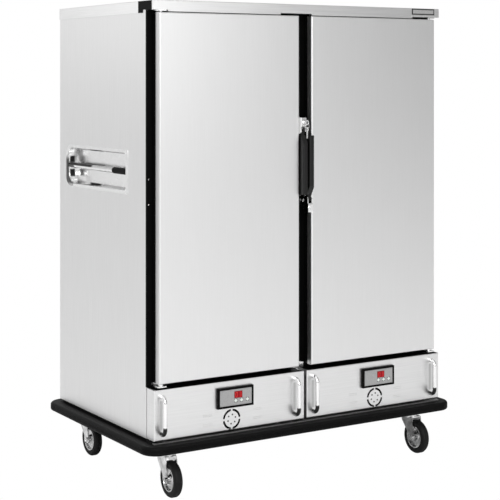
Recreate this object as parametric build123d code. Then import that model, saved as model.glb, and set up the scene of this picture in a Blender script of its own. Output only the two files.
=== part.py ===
from build123d import *

import os

# Refrigerated banquet cart: two insulated bays side by side over two pull-out cooling units,
# on a bumper-ringed base with four swivel casters.
# Millimetres, +Z up, the front faces -Y, and the origin is on the floor under the middle.

# Overall sizes
cabinet_width = 1240
cabinet_depth = 768
overall_height = 1706
door_zone_depth = 56
sheet = 1.5

half_width = cabinet_width / 2
front_y = -cabinet_depth / 2
back_y = cabinet_depth / 2
face_y = front_y + door_zone_depth

# Heights
caster_height = 165
bumper_top_z = 196
deck_top_z = 200
shell_bottom_z = 206
unit_bottom_z = 207
unit_top_z = 380
door_bottom_z = 397
door_top_z = 1665
header_bottom_z = 1672.5
side_band_bottom_z = 1664
header_lips = ((-565, -105), (30, 495))

# Doors
door_side_inset = 20
door_centre_gap = 53
door_skin_depth = 27
door_edge_depth = 18
door_edge_width = 28
door_corner_radius = 5
gasket_depth = 10
gasket_width = 14
gasket_edge_inset = 16
gasket_frame_gap = 1
hinge_edge_inset = 15
hinge_front_inset = 18
hinge_pin_radius = 5
running_clearance = 0.05

door_outer_x = half_width - door_side_inset
door_inner_x = door_centre_gap / 2
door_back_y = front_y + door_skin_depth + door_edge_depth
hinge_x = door_outer_x - hinge_edge_inset
hinge_y = front_y + hinge_front_inset

# Bays
frame_thickness = 6
bay_outer_x = 568
bay_inner_x = 58
bay_bottom_z = 437
bay_top_z = 1630
bay_back_y = 338
bay_floor_underside_z = 383
ledge_levels = 7
ledge_reach = 22
ledge_drop = 16
ledge_sheet = 2
frame_back_y = face_y + frame_thickness
frame_bottom_z = bay_floor_underside_z - 2

# Push handles in the side panels
pocket_length = 490
pocket_height = 138
pocket_front_corner = 15
pocket_back_corner = 45
pocket_centre_y = 70
pocket_centre_z = 1109
pocket_depth = 42
pocket_frame_length = 520
pocket_frame_height = 157
pocket_frame_front_corner = 6
pocket_frame_back_corner = 50
pocket_frame_centre_y = 70
push_bar_radius = 10
push_bar_inset = 12

# Bumper
bumper_overhang = 42
bumper_corner_radius = 60
bumper_groove_depth = 1.5
bumper_groove_height = 1.6

# Cooling units
unit_gap = 11
unit_back_gap = 3
skid_gap = 0.3
unit_handle_centre_z = 293
unit_handle_spacing = 128
unit_handle_reach = 36
unit_handle_bar_radius = 7
unit_handle_bend = 22
left_handle_inset = 27
right_handle_inset = 42
controller_width = 146
controller_height = 71
controller_depth = 12
controller_border = 7
controller_recess = 3
controller_offset_x = 11
controller_centre_z = 322.5
button_radius = 5.5
button_spacing = 24
button_first_offset = 0
button_drop = 12
button_guide_gap = 0.1
button_proud = 1.2
button_length = 7
vent_centre_z = 245
vent_outer_radius = 36
vent_inner_radius = 28.5
vent_bridge = 7
fan_blades = 7
fan_shaft_radius = 2
perforation_radius = 1.0
perforation_pitch = 6
perforation_rows = (237, 268)
perforation_columns = (-99, 106)

# Latches
latch_pivot_y = -380
latch_pivot_z = 1250
latch_middle_z = 1125
latch_pin_radius = 3
lock_x = -12
lock_z = 1279
lock_radius = 6
key_bow_y = -413
key_hole_radius = 6

# Casters
caster_x = 536
caster_y = 315
caster_trail = 40
wheel_radius = 62.5
tyre_width = 32
rim_radius = 42
axle_radius = 4
kingpin_radius = 6
caster_yaws = {"front_left": -2, "front_right": 0, "rear_left": 0, "rear_right": -9}


def block(x0, x1, y0, y1, z0, z1):
    """A box between two corners."""
    middle = Pos((x0 + x1) / 2, (y0 + y1) / 2, (z0 + z1) / 2)
    return middle * Box(x1 - x0, y1 - y0, z1 - z0)


def rod(radius, start, end):
    """A round bar between two points."""
    line = Vector(*end) - Vector(*start)
    face = Plane(origin=start, z_dir=line) * Circle(radius)
    return extrude(face, amount=line.length)


def extrude_x(sketch, x0, x1):
    """Pushes a sketch drawn in (Y, Z) from one X to another."""
    return extrude(Plane.YZ.offset(x0) * sketch, amount=x1 - x0)


def handle_outline(length, height, front_corner, back_corner):
    """A rectangle in (Y, Z) whose two front corners are rounded less than its two back ones."""
    outline = Rectangle(length, height)
    outline = fillet(outline.vertices().sort_by(Axis.X)[:2], front_corner)
    return fillet(outline.vertices().sort_by(Axis.X)[-2:], back_corner)


def pocket_slab(x0, x1, inset=0):
    """The push handle pocket's outline between two X values, shrunk by an inset."""
    outline = handle_outline(
        pocket_length - 2 * inset,
        pocket_height - 2 * inset,
        pocket_front_corner - inset,
        pocket_back_corner - inset,
    )
    return extrude_x(Pos(pocket_centre_y, pocket_centre_z) * outline, x0, x1)


def mirrored(part):
    """The same piece on the other side of the cart."""
    return mirror(part, about=Plane.YZ)


def group(*solids):
    """Several separate solids kept in one node."""
    return Compound(children=[solid for part in solids for solid in part.solids()])


# Base and bumper


def base_frame():
    """Welded base: a folded deck with an outer wall, a foot flange and channels over the casters."""
    wall = 3
    foot_width = 45
    channel_half = 62
    side_step = 8
    x, y = half_width, back_y
    base = block(-x, x, -y, y, caster_height, deck_top_z)
    base -= block(-x + wall, x - wall, -y + wall, y - wall, caster_height + wall, deck_top_z - wall)
    base -= block(
        -x + foot_width,
        x - foot_width,
        -y + foot_width,
        y - foot_width,
        caster_height - 1,
        caster_height + wall + 1,
    )
    for caster_row_y in (-caster_y, caster_y):
        y0 = max(caster_row_y - channel_half, -y + wall)
        y1 = min(caster_row_y + channel_half, y - wall)
        channel = block(-x + wall, x - wall, y0, y1, caster_height, deck_top_z - wall)
        channel -= block(
            -x + wall, x - wall, y0 + wall, y1 - wall, caster_height + wall, deck_top_z - wall
        )
        base += channel
    for x0, x1 in ((-x - 1, -x + side_step), (x - side_step, x + 1)):
        base -= block(x0, x1, face_y + 2, y + 1, bumper_top_z, deck_top_z + 1)
    base -= block(-x - 1, x + 1, y - side_step, y + 1, bumper_top_z, deck_top_z + 1)
    for hole_x, hole_y in caster_bolt_places():
        hole_bottom = (hole_x, hole_y, caster_height - 1)
        base -= rod(4.5, hole_bottom, (hole_x, hole_y, caster_height + wall + 1))
    web = block(-1, 1, frame_back_y, back_y - sheet, deck_top_z, bay_floor_underside_z)
    base += web
    for side in (-1, 1):
        x0, x1 = sorted((side * (x - 12), side * (x - 22)))
        base += block(x0, x1, face_y + 2, y - 12, deck_top_z, shell_bottom_z)
    return base


def bumper():
    """Soft rail all round the base, with a rounded nose and fine grooves."""
    outer = Pos(0, 0, caster_height) * extrude(
        RectangleRounded(
            cabinet_width + 2 * bumper_overhang,
            cabinet_depth + 2 * bumper_overhang,
            bumper_corner_radius,
        ),
        amount=bumper_top_z - caster_height,
    )
    outer = fillet(outer.faces().sort_by(Axis.Z)[-1].edges(), 10)
    outer = fillet(outer.faces().sort_by(Axis.Z)[0].edges(), 8)
    inner = Pos(0, 0, caster_height - 1) * extrude(
        Rectangle(cabinet_width, cabinet_depth),
        amount=bumper_top_z - caster_height + 2,
    )
    rail = outer - inner
    for groove_z in (caster_height + 11, caster_height + 15, caster_height + 19):
        rail -= bumper_groove(groove_z)
    return rail


def bumper_groove(z):
    """One thin groove cut round the bumper's nose."""
    width = cabinet_width + 2 * bumper_overhang
    depth = cabinet_depth + 2 * bumper_overhang
    cut = 2 * bumper_groove_depth
    outer = RectangleRounded(width + 20, depth + 20, bumper_corner_radius + 10)
    inner = RectangleRounded(width - cut, depth - cut, bumper_corner_radius - bumper_groove_depth)
    return Pos(0, 0, z) * extrude(outer - inner, amount=bumper_groove_height)


# Casters


def caster_places():
    """Swivel axis and turn of each caster, by name."""
    places = {}
    for name, yaw in caster_yaws.items():
        x = -caster_x if "left" in name else caster_x
        y = -caster_y if "front" in name else caster_y
        places[name] = (x, y, yaw)
    return places


def caster_bolt_places():
    """Where the sixteen caster bolts go through the base."""
    return [
        (x + dx, y + dy)
        for x, y, _ in caster_places().values()
        for dx in (-40, 40)
        for dy in (-30, 30)
    ]


def caster_plates():
    """Four top plates with their swivel races and kingpins, and sixteen bolts."""
    solids = []
    plate_bottom = caster_height - 4
    race_bottom = 153
    for x, y, _ in caster_places().values():
        plate = Pos(x, y, plate_bottom) * extrude(RectangleRounded(105, 85, 10), amount=4)
        plate += rod(31, (x, y, race_bottom), (x, y, plate_bottom))
        plate += rod(kingpin_radius, (x, y, 133), (x, y, race_bottom))
        plate += rod(11, (x, y, 129), (x, y, 133.5))
        for dx in (-40, 40):
            for dy in (-30, 30):
                hole_bottom = (x + dx, y + dy, plate_bottom - 1)
                plate -= rod(4.5, hole_bottom, (x + dx, y + dy, caster_height + 1))
        solids.append(plate)
    for x, y in caster_bolt_places():
        head = Pos(x, y, plate_bottom - 5) * extrude(RegularPolygon(7.2, 6), amount=5)
        solids.append(head + rod(4, (x, y, plate_bottom - 5), (x, y, caster_height + 9)))
    return group(*solids)


def caster_fork():
    """Swivel yoke: a crown under a round race, two sloping legs and the axle bolt between them."""
    crown_bottom = 134
    crown_top = 138
    race_top = 152
    leg_inner = 19
    leg_sheet = 3
    leg_outer = leg_inner + leg_sheet
    axle_height = wheel_radius
    crown = rod(33, (0, 0, crown_bottom), (0, 0, race_top))
    crown += block(-leg_outer, leg_outer, -38, 24, crown_bottom, crown_top)
    leg_outline = Polyline(
        (-38, crown_top),
        (24, crown_top),
        (24, 120),
        (12 - caster_trail, axle_height - 3),
        (-12 - caster_trail, axle_height),
        close=True,
    )
    leg = make_face(leg_outline) + Pos(-caster_trail, axle_height) * Circle(14)
    fork = crown
    for x0 in (-leg_outer, leg_inner):
        fork += extrude_x(leg, x0, x0 + leg_sheet)
    fork -= rod(kingpin_radius + running_clearance, (0, 0, crown_bottom - 1), (0, 0, race_top + 1))
    hole = axle_radius + running_clearance
    fork -= rod(hole, (-30, -caster_trail, axle_height), (30, -caster_trail, axle_height))
    axle_start = (-leg_outer, -caster_trail, axle_height)
    axle_end = (leg_outer, -caster_trail, axle_height)
    axle = rod(axle_radius, axle_start, axle_end)
    for x in (-leg_outer - 5, leg_outer):
        nut = extrude(RegularPolygon(7.5, 6), amount=5)
        axle += Pos(x, -caster_trail, axle_height) * Rot(0, 90, 0) * nut
    return group(fork, axle)


def spin_profile(points, origin_y, origin_z):
    """Turns a half outline, given as (across, radius) points, about the wheel axle."""
    outline = make_face(Polyline(*[(across, radius) for across, radius in points], close=True))
    turned = revolve(Plane.XY * outline, axis=Axis.X, revolution_arc=360)
    return Pos(0, origin_y, origin_z) * turned


def wheel_hub():
    """Pressed rim: a bored boss, a dished web and a rim flange."""
    bore = axle_radius + running_clearance
    flange_inside = rim_radius - 4
    web_edge = rim_radius - 8
    points = [
        (-18, bore),
        (18, bore),
        (18, 13),
        (7, 16),
        (5, 20),
        (5, web_edge),
        (14, flange_inside),
        (14, rim_radius),
        (-14, rim_radius),
        (-14, flange_inside),
        (-5, web_edge),
        (-5, 20),
        (-7, 16),
        (-18, 13),
    ]
    return spin_profile(points, -caster_trail, wheel_radius)


def tyre():
    """Rubber tyre with a narrow flat tread and well rounded shoulders."""
    half = tyre_width / 2
    shoulder = (
        (half, rim_radius + 3),
        (half, wheel_radius - 10),
        (half - 1.5, wheel_radius - 5.5),
        (half - 4.5, wheel_radius - 2.2),
        (half - 9, wheel_radius),
    )
    points = [(-14, rim_radius), (14, rim_radius), *shoulder]
    points += [(-across, radius) for across, radius in reversed(shoulder)]
    return spin_profile(points, -caster_trail, wheel_radius)


# Cabinet


def side_panel():
    """Left outer side sheet, cut back for the front frame and opened for the push handle."""
    x0 = -half_width
    panel = block(x0, x0 + sheet, face_y, back_y, shell_bottom_z, overall_height - sheet)
    panel += block(x0, x0 + 22, face_y, back_y - sheet, shell_bottom_z, shell_bottom_z + sheet)
    panel -= block(x0 - 1, x0 + 23, face_y - 1, frame_back_y, frame_bottom_z, header_bottom_z)
    return panel - pocket_slab(x0 - 1, x0 + sheet + 1, inset=-4)


def back_panel():
    """Outer back sheet with two plain inlets for the mains leads."""
    x = half_width - sheet
    panel = block(-x, x, back_y - sheet, back_y, shell_bottom_z, overall_height - sheet)
    for inlet_x in (-300, 300):
        panel -= rod(14, (inlet_x, back_y - 5, 250), (inlet_x, back_y + 5, 250))
    for unit_x in (-310, 310):
        for row in range(6):
            slot_z = 290 + 12 * row
            panel -= block(unit_x - 110, unit_x + 110, back_y - 5, back_y + 5, slot_z, slot_z + 5)
    return panel


def top_panel():
    """Roof cap with folded bands and a deep header over the doors."""
    x = half_width + 2
    y = back_y + 2
    cap_front_y, cap_rear_y = -370, -271
    shell = block(-x, x, front_y, y, side_band_bottom_z, overall_height)
    shell = fillet(shell.faces().sort_by(Axis.Z)[-1].edges(), 3)
    low_z = side_band_bottom_z - 1
    shell -= block(-x + sheet, x - sheet, front_y + sheet, y - sheet, low_z, overall_height - sheet)
    shell -= block(-x - 1, x + 1, front_y - 1, face_y, low_z, header_bottom_z)
    for x0, x1 in ((-x - 1, -x + sheet), (x - sheet, x + 1)):
        shell -= block(x0, x1, cap_front_y, cap_rear_y, low_z, overall_height - sheet)
    inside_y = front_y + sheet
    shell += block(-half_width, half_width, inside_y, face_y, header_bottom_z, header_bottom_z + sheet)
    for x0, x1 in header_lips:
        shell += block(x0, x1, front_y + 3, front_y + 20, header_bottom_z - 5, header_bottom_z + 1)
    return shell


def header_end_cap():
    """Left end cap of the header, with a leg down the side panel and a plug inside the header."""
    top_z = overall_height - sheet
    outline = Polyline(
        (-370, header_bottom_z),
        (-323, header_bottom_z),
        (-323, header_bottom_z + 2),
        (-301, header_bottom_z + 2),
        (-301, side_band_bottom_z),
        (-271, side_band_bottom_z),
        (-271, top_z),
        (-370, top_z),
        close=True,
    )
    cap = extrude_x(make_face(outline), -half_width - 2.5, -half_width)
    plug = block(-half_width, -half_width + 18, -366, face_y - 3, header_bottom_z + 3, top_z - 3)
    return cap + plug


def front_frame():
    """Thermal break frame round both bay openings, as wide as the cabinet."""
    x = half_width
    frame = block(-x, x, face_y, frame_back_y, frame_bottom_z, header_bottom_z)
    for x0, x1 in ((-bay_outer_x, -bay_inner_x), (bay_inner_x, bay_outer_x)):
        frame -= block(x0, x1, face_y - 1, frame_back_y + 1, bay_bottom_z, bay_top_z)
    return frame


def liner():
    """Left bay's inner box, open at the front, with air slots in the floor at the back."""
    shell = block(
        -bay_outer_x - sheet,
        -bay_inner_x + sheet,
        frame_back_y,
        bay_back_y + sheet,
        bay_bottom_z - sheet,
        bay_top_z + sheet,
    )
    shell -= block(-bay_outer_x, -bay_inner_x, frame_back_y - 1, bay_back_y, bay_bottom_z, bay_top_z)
    for slot in range(9):
        x = -bay_outer_x + 111 + 36 * slot
        shell -= block(x - 6, x + 6, 240, 320, bay_bottom_z - 3, bay_bottom_z + 1)
    return shell


def cabinet_insulation():
    """Foam that fills the walls, roof, floor and middle between the outer sheets and the liners."""
    x = half_width - sheet
    foam = block(-x, x, frame_back_y, back_y - sheet, bay_floor_underside_z, overall_height - 2)
    duct_x0 = -bay_outer_x + 95
    for side in (1, -1):
        x0, x1 = sorted((-side * (bay_outer_x + sheet), -side * (bay_inner_x - sheet)))
        y0, y1 = frame_back_y - 1, bay_back_y + sheet
        foam -= block(x0, x1, y0, y1, bay_bottom_z - sheet, bay_top_z + sheet)
        d0, d1 = sorted((side * duct_x0, side * (duct_x0 + 320)))
        foam -= block(d0, d1, 235, 325, bay_floor_underside_z - 1, bay_bottom_z)
        p0, p1 = sorted((-side * half_width, -side * (half_width - pocket_depth)))
        foam -= pocket_slab(p0, p1)
    return foam


def tray_runners():
    """Pairs of folded ledges up both walls of both bays."""
    pitch = (bay_top_z - bay_bottom_z) / (ledge_levels + 1)
    bay_walls = ((-bay_outer_x, 1), (-bay_inner_x, -1), (bay_inner_x, 1), (bay_outer_x, -1))
    ledges = []
    for level in range(1, ledge_levels + 1):
        z = bay_bottom_z + pitch * level
        for wall_x, inward in bay_walls:
            x0, x1 = sorted((wall_x, wall_x + inward * ledge_reach))
            top = block(x0, x1, -300, 325, z - ledge_sheet, z)
            w0, w1 = sorted((wall_x, wall_x + inward * ledge_sheet))
            ledges.append(top + block(w0, w1, -300, 325, z - ledge_drop, z))
    return group(*ledges)


def push_handle():
    """Left push handle: a pressed pocket with a frame, and a round bar across it."""
    x0 = -half_width
    frame_outline = handle_outline(
        pocket_frame_length,
        pocket_frame_height,
        pocket_frame_front_corner,
        pocket_frame_back_corner,
    )
    frame_place = Pos(pocket_frame_centre_y, pocket_centre_z)
    frame = extrude_x(frame_place * frame_outline, x0 - sheet, x0)
    tub = pocket_slab(x0, x0 + pocket_depth)
    hollow = pocket_slab(x0 - sheet - 1, x0 + pocket_depth - sheet, inset=sheet)
    pocket = frame + tub - hollow
    bar_half = pocket_length / 2 - sheet
    bar_x = x0 + push_bar_inset
    bar = rod(
        push_bar_radius,
        (bar_x, pocket_centre_y - bar_half, pocket_centre_z),
        (bar_x, pocket_centre_y + bar_half, pocket_centre_z),
    )
    return group(pocket, bar)


def hinge_brackets():
    """Left door's two pivot brackets, upper and lower, with their pins."""
    plate_z = header_bottom_z - 3.5
    inner_x = -hinge_x + 14
    top_plate = block(-door_outer_x - 2, inner_x, -381, face_y - 2, plate_z, header_bottom_z)
    top = top_plate + rod(
        hinge_pin_radius, (-hinge_x, hinge_y, door_top_z - 20), (-hinge_x, hinge_y, plate_z + 1)
    )
    foot_plate = block(-door_outer_x - 2, inner_x, -381, face_y, 386, 390)
    upright = block(-door_outer_x - 2, inner_x, face_y - 3, face_y, 384, 396)
    pin = rod(hinge_pin_radius, (-hinge_x, hinge_y, 389), (-hinge_x, hinge_y, door_bottom_z + 20))
    washer = rod(9, (-hinge_x, hinge_y, 390), (-hinge_x, hinge_y, door_bottom_z - 0.3))
    return top, foot_plate + upright + pin + washer


def latch_keeper():
    """Left latch's keeper: a plate on the middle post with an arm and a down-turned nose."""
    z = latch_pivot_z
    plate = block(-20, -8, face_y - 3, face_y, z - 15, z + 25)
    arm = block(-20, -8, -352, face_y - 2, z + 8, z + 11)
    nose = block(-20, -8, -352, -349, z + 1, z + 9)
    return plate + arm + nose


def front_brackets():
    """Steel pieces on the front frame: hinge brackets, latch keepers and the post's foot cover."""
    top, foot = hinge_brackets()
    keeper = latch_keeper()
    post_foot = block(-door_inner_x, door_inner_x, face_y - 2, face_y, unit_top_z + 2, 403)
    return group(
        top, foot, mirrored(top), mirrored(foot), keeper, to_right_latch(keeper), post_foot
    )


# Doors


def door_skin():
    """Left door's outer pan, folded back on all four sides, with holes for the hinge pins."""
    back = front_y + door_skin_depth
    pan = block(-door_outer_x, -door_inner_x, front_y, back, door_bottom_z, door_top_z)
    pan = fillet(pan.faces().sort_by(Axis.Y)[0].edges(), door_corner_radius)
    pan -= block(
        -door_outer_x + sheet,
        -door_inner_x - sheet,
        front_y + sheet,
        back + 1,
        door_bottom_z + sheet,
        door_top_z - sheet,
    )
    for z0, z1 in ((door_bottom_z - 1, door_bottom_z + 3), (door_top_z - 3, door_top_z + 1)):
        pan -= rod(hinge_pin_radius + 2, (-hinge_x, hinge_y, z0), (-hinge_x, hinge_y, z1))
    return pan


def door_edge_frame():
    """Left door's plastic rim, with a bored boss for each hinge pin."""
    y0 = front_y + door_skin_depth
    x0, x1 = -door_outer_x + 1, -door_inner_x - 1
    z0, z1 = door_bottom_z + 1, door_top_z - 1
    rim = block(x0, x1, y0, door_back_y, z0, z1)
    rim -= block(
        x0 + door_edge_width,
        x1 - door_edge_width,
        y0 - 1,
        door_back_y + 1,
        z0 + door_edge_width,
        z1 - door_edge_width,
    )
    boss_back_y = y0 + 4
    for b0, b1 in ((z0 + 1, z0 + 25), (z1 - 25, z1 - 1)):
        rim += block(-hinge_x - 12, -hinge_x + 12, front_y + 6, boss_back_y, b0, b1)
    bore = hinge_pin_radius + running_clearance
    rim -= rod(bore, (-hinge_x, hinge_y, z0), (-hinge_x, hinge_y, z0 + 21))
    rim -= rod(bore, (-hinge_x, hinge_y, z1 - 21), (-hinge_x, hinge_y, z1))
    return rim


def door_inner_panel():
    """Left door's inner sheet with a shallow raised field."""
    x0, x1 = -door_outer_x + 1 + door_edge_width, -door_inner_x - 1 - door_edge_width
    z0, z1 = door_bottom_z + 1 + door_edge_width, door_top_z - 1 - door_edge_width
    margin = 30
    rise = 6
    panel = block(x0, x1, door_back_y - sheet, door_back_y, z0, z1)
    y0, y1 = door_back_y - sheet, door_back_y + rise
    field = block(x0 + margin, x1 - margin, y0, y1, z0 + margin, z1 - margin)
    field = fillet(field.faces().sort_by(Axis.Y)[-1].edges(), 3)
    inside = margin + sheet
    panel += field
    panel -= block(
        x0 + inside, x1 - inside, door_back_y - 5, door_back_y + rise - sheet, z0 + inside, z1 - inside
    )
    return panel


def door_gasket():
    """Left door's magnetic seal, a hollow-looking ring with a groove along its lip."""
    x0, x1 = -door_outer_x + gasket_edge_inset, -door_inner_x - gasket_edge_inset
    z0, z1 = bay_bottom_z - gasket_edge_inset, bay_top_z + gasket_edge_inset
    y1 = face_y - gasket_frame_gap
    ring = block(x0, x1, door_back_y, y1, z0, z1)
    w = gasket_width
    ring -= block(x0 + w, x1 - w, door_back_y - 1, y1 + 1, z0 + w, z1 - w)
    groove_in = 5
    groove_out = 9
    groove = block(x0 + groove_in, x1 - groove_in, y1 - 3, y1 + 1, z0 + groove_in, z1 - groove_in)
    groove -= block(x0 + groove_out, x1 - groove_out, y1 - 4, y1 + 2, z0 + groove_out, z1 - groove_out)
    return ring - groove


# Latches and lock


def latch_bracket(bored):
    """Left latch's cast bracket on the door's edge, with two cheeks and the lever's pin."""
    y, z = latch_pivot_y, latch_pivot_z
    flange = block(-door_inner_x, -24.5, -382, -345, 1238, 1300)
    body = block(-24.5, -4, -396, -362, z + 13, 1297)
    body = fillet(body.edges().filter_by(Axis.X), 5)
    bracket = flange + body
    for x0, x1 in ((-24.5, -21.5), (-7, -4)):
        cheek = Pos(y, z) * Circle(12) + Pos(y, z + 9) * Rectangle(24, 18)
        bracket += extrude_x(cheek, x0, x1)
    bracket += rod(latch_pin_radius, (-24.5, y, z), (-4, y, z))
    if bored:
        bracket -= rod(lock_radius + running_clearance, (lock_x, -400, lock_z), (lock_x, -367, lock_z))
    else:
        bracket += rod(lock_radius, (lock_x, -404, lock_z), (lock_x, -390, lock_z))
    return bracket


def latch_lever():
    """Left latch's long grip, with a neck on the pin and a tongue behind it."""
    y, z = latch_pivot_y, latch_pivot_z
    outline = Polyline((-388, 1232), (-407, 1200), (-407, 1018), (-373, 1018), (-373, 1232), close=True)
    grip = extrude_x(make_face(outline), -24, -3.5)
    grip = fillet(grip.edges().filter_by(Axis.Z), 5)
    neck = Pos(y, z) * Circle(8) + Pos(y, z - 11) * Rectangle(16, 22)
    lever = grip + extrude_x(neck, -21, -7.5)
    lever += block(-18, -10, y, -338, z - 8, z)
    lever += block(-18, -10, -344, -338, z - 1, z + 5)
    bore = latch_pin_radius + running_clearance
    return lever - rod(bore, (-26, y, z), (-2, y, z))


def to_right_latch(part):
    """Turns a left latch piece half round about the front's own axis, which makes the right one."""
    return Pos(0, 0, 2 * latch_middle_z) * Rot(0, 180, 0) * part


def key_plate(sketch):
    """A flat key shape, drawn in (Y, Z), at the lock's own X."""
    return extrude_x(sketch, lock_x - 0.8, lock_x + 0.8)


def lock_barrel():
    """Lock cylinder with the key in it."""
    barrel = rod(lock_radius, (lock_x, -400, lock_z), (lock_x, -368, lock_z))
    bow = Pos(key_bow_y, lock_z) * (Circle(9) - Circle(key_hole_radius))
    stem = Pos(-402, lock_z) * Rectangle(8, 8)
    return barrel + key_plate(bow + stem)


def key_ring():
    """Split ring through the key's bow, with the spare key hanging on it."""
    ring_radius = 8
    wire_radius = 0.9
    slack = 0.1
    ring_top_z = lock_z - key_hole_radius + wire_radius + slack
    centre = Pos(lock_x, key_bow_y, ring_top_z - ring_radius)
    ring = centre * Rot(90, 0, 0) * Torus(ring_radius, wire_radius)
    spare_hole_radius = 3.5
    hole_z = ring_top_z - 2 * ring_radius + wire_radius + slack - spare_hole_radius
    bow = Pos(key_bow_y, hole_z) * (Circle(8) - Circle(spare_hole_radius))
    blade = Pos(key_bow_y, hole_z - 20) * Rectangle(7, 26)
    for tooth in range(4):
        blade -= Pos(key_bow_y - 3.5, hole_z - 18 - 5 * tooth) * Circle(1.2)
    return group(ring, key_plate(bow + blade))


# Cooling units


def unit_edges():
    """X of the left unit's outer and inner edges."""
    return -half_width, -unit_gap / 2


def unit_centre_x():
    return sum(unit_edges()) / 2


def vent_slots():
    """The round vent's four curved slots, drawn in (X, Z)."""
    ring = Circle(vent_outer_radius) - Circle(vent_inner_radius)
    ring -= Rectangle(vent_bridge, 3 * vent_outer_radius)
    ring -= Rectangle(3 * vent_outer_radius, vent_bridge)
    return ring


def perforations(centre_x):
    """Cutters for the four small groups of breathing holes in a unit's front."""
    holes = []
    for column in perforation_columns:
        for row_z in perforation_rows:
            for n in range(6):
                for up in (-perforation_pitch / 2, perforation_pitch / 2):
                    x = centre_x + column + (n - 2.5) * perforation_pitch
                    z = row_z + up
                    holes.append(rod(perforation_radius, (x, front_y - 2, z), (x, front_y + 4, z)))
    return Compound(children=holes)


def unit_front(centre_x):
    """Folded front of a cooling unit, with the vent, breathing holes and the controller's cut-out."""
    half = (half_width - unit_gap / 2) / 2
    x0, x1 = centre_x - half, centre_x + half
    y1 = face_y - unit_back_gap
    pan = block(x0, x1, front_y, y1, unit_bottom_z, unit_top_z)
    pan = fillet(pan.faces().sort_by(Axis.Y)[0].edges(), 3)
    low_z, high_z = unit_bottom_z + sheet, unit_top_z - sheet
    pan -= block(x0 + sheet, x1 - sheet, front_y + sheet, y1 + 1, low_z, high_z)
    vent_plane = Plane(origin=(centre_x, front_y - 1, vent_centre_z), x_dir=(1, 0, 0), z_dir=(0, 1, 0))
    pan -= extrude(vent_plane * vent_slots(), amount=5)
    pan -= perforations(centre_x)
    cut_x = centre_x + controller_offset_x
    cut_half_x = controller_width / 2 - controller_border
    cut_half_z = controller_height / 2 - controller_border
    return pan - block(
        cut_x - cut_half_x,
        cut_x + cut_half_x,
        front_y - 2,
        front_y + 4,
        controller_centre_z - cut_half_z,
        controller_centre_z + cut_half_z,
    )


def unit_tray(centre_x):
    """Chassis tray behind the front, on two skids that run on the deck."""
    half = 285
    y0, y1 = face_y + 1, 345
    z0 = unit_bottom_z + sheet
    tray = block(centre_x - half, centre_x + half, y0 - 40, y1, z0, z0 + sheet)
    for x in (centre_x - half, centre_x + half - sheet):
        tray += block(x, x + sheet, y0, y1, z0, z0 + 34)
    tray += block(centre_x - half, centre_x + half, y1 - sheet, y1, z0, z0 + 34)
    for x in (centre_x - 230, centre_x + 230):
        tray += block(x - 12, x + 12, y0, y1, deck_top_z + skid_gap, z0)
    return tray


def bow_handle(x):
    """One upright bow handle on a unit's front, bent from round bar."""
    out_y = front_y - unit_handle_reach + unit_handle_bar_radius
    low_z = unit_handle_centre_z - unit_handle_spacing / 2
    high_z = unit_handle_centre_z + unit_handle_spacing / 2
    path = FilletPolyline(
        (x, front_y, low_z),
        (x, out_y, low_z),
        (x, out_y, high_z),
        (x, front_y, high_z),
        radius=unit_handle_bend,
    )
    section = Plane(origin=path @ 0, z_dir=path % 0) * Circle(unit_handle_bar_radius)
    return sweep(section, path=path)


def unit_handles(centre_x):
    half = (half_width - unit_gap / 2) / 2
    left = bow_handle(centre_x - half + left_handle_inset)
    right = bow_handle(centre_x + half - right_handle_inset)
    return group(left, right)


def button_places(centre_x):
    """Where a controller's three buttons are."""
    first = centre_x + controller_offset_x + button_first_offset
    return [(first + button_spacing * n, controller_centre_z - button_drop) for n in range(3)]


def controller(centre_x):
    """Thermostat housing: a proud bezel with a sunk face, and the body behind the front."""
    x, z = centre_x + controller_offset_x, controller_centre_z
    half_w, half_h = controller_width / 2, controller_height / 2
    in_w, in_h = half_w - controller_border, half_h - controller_border
    y0 = front_y - controller_depth
    bezel = block(x - half_w, x + half_w, y0, front_y, z - half_h, z + half_h)
    bezel = fillet(bezel.faces().sort_by(Axis.Y)[0].edges(), 2)
    body = block(x - in_w + 0.5, x + in_w - 0.5, front_y, front_y + 40, z - in_h + 0.5, z + in_h - 0.5)
    housing = bezel + body
    housing -= block(x - in_w, x + in_w, y0 - 1, y0 + controller_recess, z - in_h, z + in_h)
    guide = button_radius + button_guide_gap
    for button_x, button_z in button_places(centre_x):
        housing -= rod(guide, (button_x, y0 - 1, button_z), (button_x, y0 + 14, button_z))
    return housing


def button(x, z):
    """One round push button that stands a little out of the controller's face."""
    y0 = front_y - controller_depth + controller_recess - button_proud
    cap = rod(button_radius, (x, y0, z), (x, y0 + button_length, z))
    return fillet(cap.faces().sort_by(Axis.Y)[0].edges(), 0.8)


def fan_rotor(centre_x):
    """Small fan behind the round vent: a hub and seven pitched blades."""
    rotor = rod(11, (0, 0, 0), (0, 0, 14))
    for n in range(fan_blades):
        rotor += Rot(0, 0, 360 / fan_blades * n) * Pos(19.5, 0, 7) * Rot(35, 0, 0) * Box(21, 11, 1.4)
    rotor -= rod(fan_shaft_radius + running_clearance, (0, 0, -1), (0, 0, 15))
    return Pos(centre_x, front_y + 10, vent_centre_z) * Rot(-90, 0, 0) * rotor


def fan_housing(centre_x):
    """Square fan housing behind the vent, with a bridge that carries the rotor's shaft."""
    y0 = front_y + 8
    z = vent_centre_z
    bore = 31.5
    housing = block(centre_x - 39, centre_x + 39, y0, y0 + 22, z - 33, z + 39)
    housing -= rod(bore, (centre_x, y0 - 1, z), (centre_x, y0 + 23, z))
    housing += block(centre_x - bore - 1, centre_x + bore + 1, y0 + 18, y0 + 22, z - 4, z + 4)
    return housing + rod(fan_shaft_radius, (centre_x, y0 + 4, z), (centre_x, y0 + 19, z))


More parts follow.
